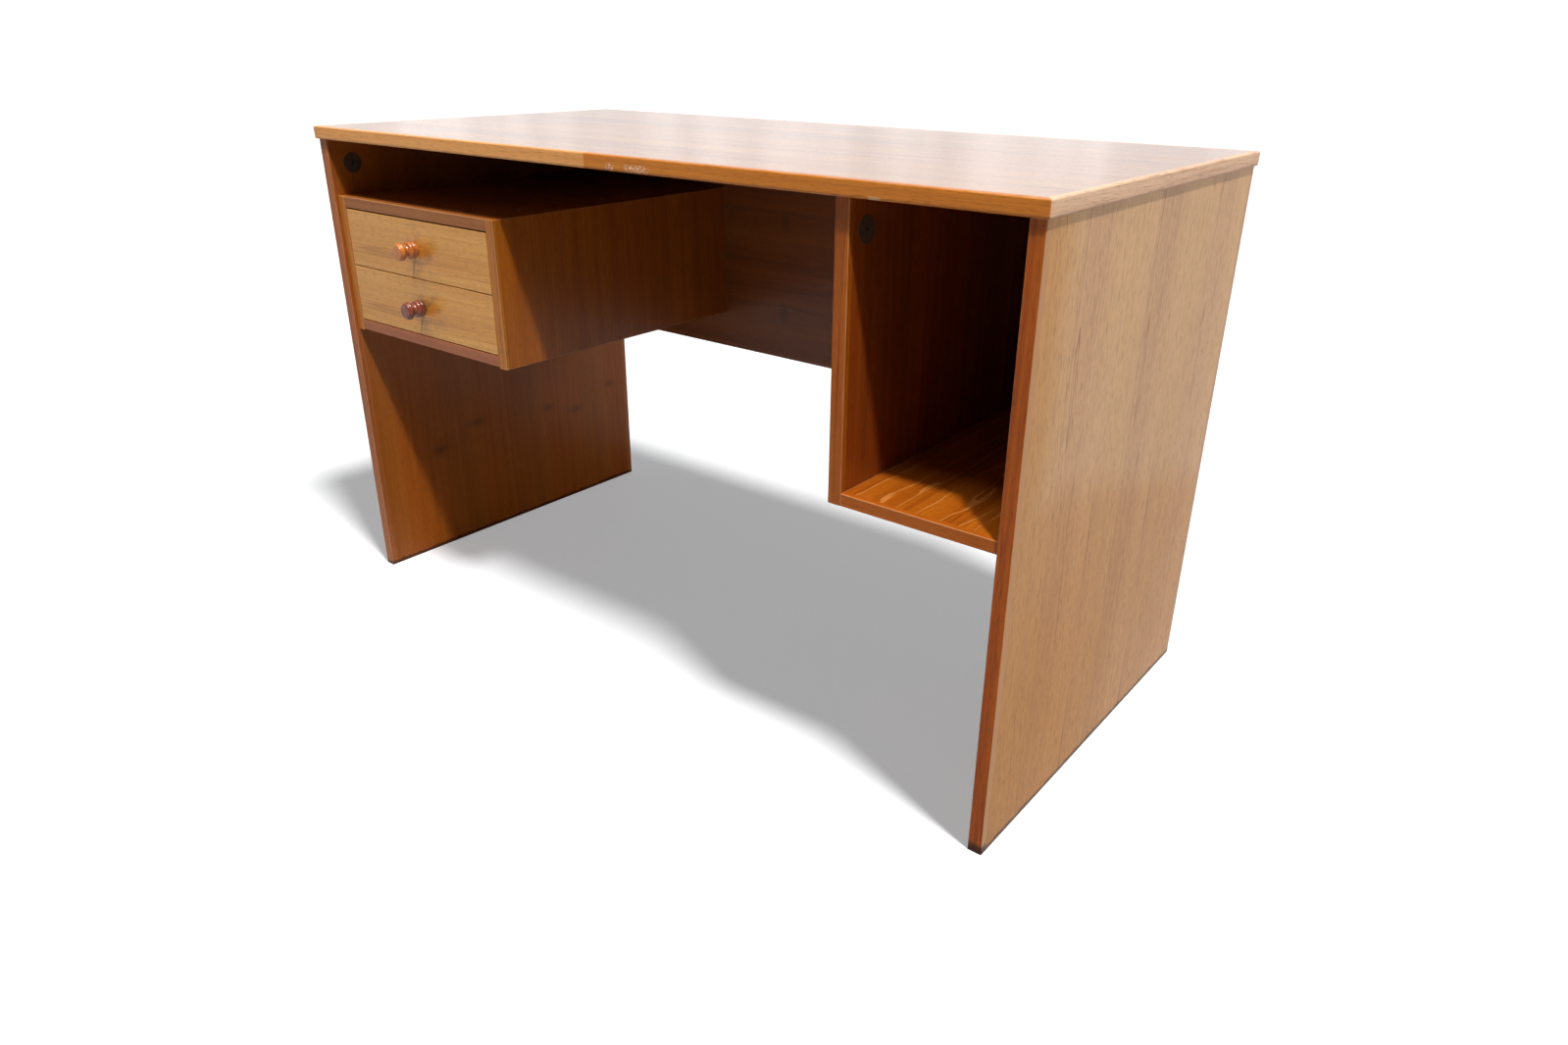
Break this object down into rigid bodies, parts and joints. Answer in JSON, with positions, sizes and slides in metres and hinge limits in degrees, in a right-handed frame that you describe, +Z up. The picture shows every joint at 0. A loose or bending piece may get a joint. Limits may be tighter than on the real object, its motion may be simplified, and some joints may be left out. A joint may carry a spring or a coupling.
{
  "type": "writing desk with drawers",
  "caption": "Rectangular veneered writing desk on slab sides, with a hung drawer box at the left, an open compartment at the right and a panel across the back.",
  "frame": {"origin": "on the floor under the middle of the desk's outline, knobs included", "axes": "+X along the desk's width to the sitter's right, +Y from the sitter's side to the back, +Z up"},
  "size_m": [1.2, 0.61, 0.73],
  "materials": {
    "teak_veneer": "straight-grained teak veneer under satin lacquer",
    "teak_lipping": "solid teak strip, satin lacquer",
    "drawer_front_veneer": "paler teak veneer, satin lacquer",
    "light_knob_wood": "turned hardwood, gloss lacquer",
    "dark_knob_wood": "turned reddish hardwood, gloss lacquer",
    "drawer_side_wood": "plain beech, clear sealed",
    "drawer_bottom_board": "thin plywood, unfinished",
    "runner_wood": "waxed hardwood",
    "dowel_wood": "beech dowel",
    "connector_plastic": "black moulded plastic",
    "fixing_steel": "zinc-plated steel"
  },
  "bodies": {
    "desk_carcass": {"back_panel": "teak_veneer", "back_panel_bottom_lipping": "teak_lipping", "back_panel_dowels": "dowel_wood", "back_panel_screws": "fixing_steel", "box_back": "teak_veneer", "box_bottom": "teak_veneer", "box_bottom_front_lipping": "teak_lipping", "box_dowels": "dowel_wood", "box_left_side": "teak_veneer", "box_left_side_front_lipping": "teak_lipping", "box_right_side": "teak_veneer", "box_right_side_front_lipping": "teak_lipping", "box_top": "teak_veneer", "box_top_front_lipping": "teak_lipping", "compartment_shelf": "teak_veneer", "connector_bolts": "fixing_steel", "connector_housings": "connector_plastic", "desktop_back_lipping": "teak_lipping", "desktop_front_lipping_left": "teak_lipping", "desktop_front_lipping_right": "teak_lipping", "desktop_left_lipping": "teak_lipping", "desktop_panel": "teak_veneer", "desktop_right_lipping": "teak_lipping", "divider_front_lipping": "teak_lipping", "divider_panel": "teak_veneer", "drawer_box_screws": "fixing_steel", "left_side_back_lipping": "teak_lipping", "left_side_front_lipping": "teak_lipping", "left_side_panel": "teak_veneer", "lower_left_runner": "runner_wood", "lower_right_runner": "runner_wood", "right_side_back_lipping": "teak_lipping", "right_side_front_lipping": "teak_lipping", "right_side_panel": "teak_veneer", "runner_screws": "fixing_steel", "shelf_dowels": "dowel_wood", "shelf_front_lipping": "teak_lipping", "upper_left_runner": "runner_wood", "upper_right_runner": "runner_wood"},
    "upper_drawer": {"upper_drawer_back": "drawer_side_wood", "upper_drawer_bottom": "drawer_bottom_board", "upper_drawer_front": "drawer_front_veneer", "upper_drawer_knob": "light_knob_wood", "upper_drawer_left_side": "drawer_side_wood", "upper_drawer_right_side": "drawer_side_wood", "upper_knob_screw": "fixing_steel"},
    "lower_drawer": {"lower_drawer_back": "drawer_side_wood", "lower_drawer_bottom": "drawer_bottom_board", "lower_drawer_front": "drawer_front_veneer", "lower_drawer_knob": "dark_knob_wood", "lower_drawer_left_side": "drawer_side_wood", "lower_drawer_right_side": "drawer_side_wood", "lower_knob_screw": "fixing_steel"}
  },
  "joints": [
    {"name": "upper_drawer_slide", "type": "slide", "parent": "desk_carcass", "child": "upper_drawer", "axis": [0, -1, 0], "range_m": [0, 0.3]},
    {"name": "lower_drawer_slide", "type": "slide", "parent": "desk_carcass", "child": "lower_drawer", "axis": [0, -1, 0], "range_m": [0, 0.3]}
  ]
}
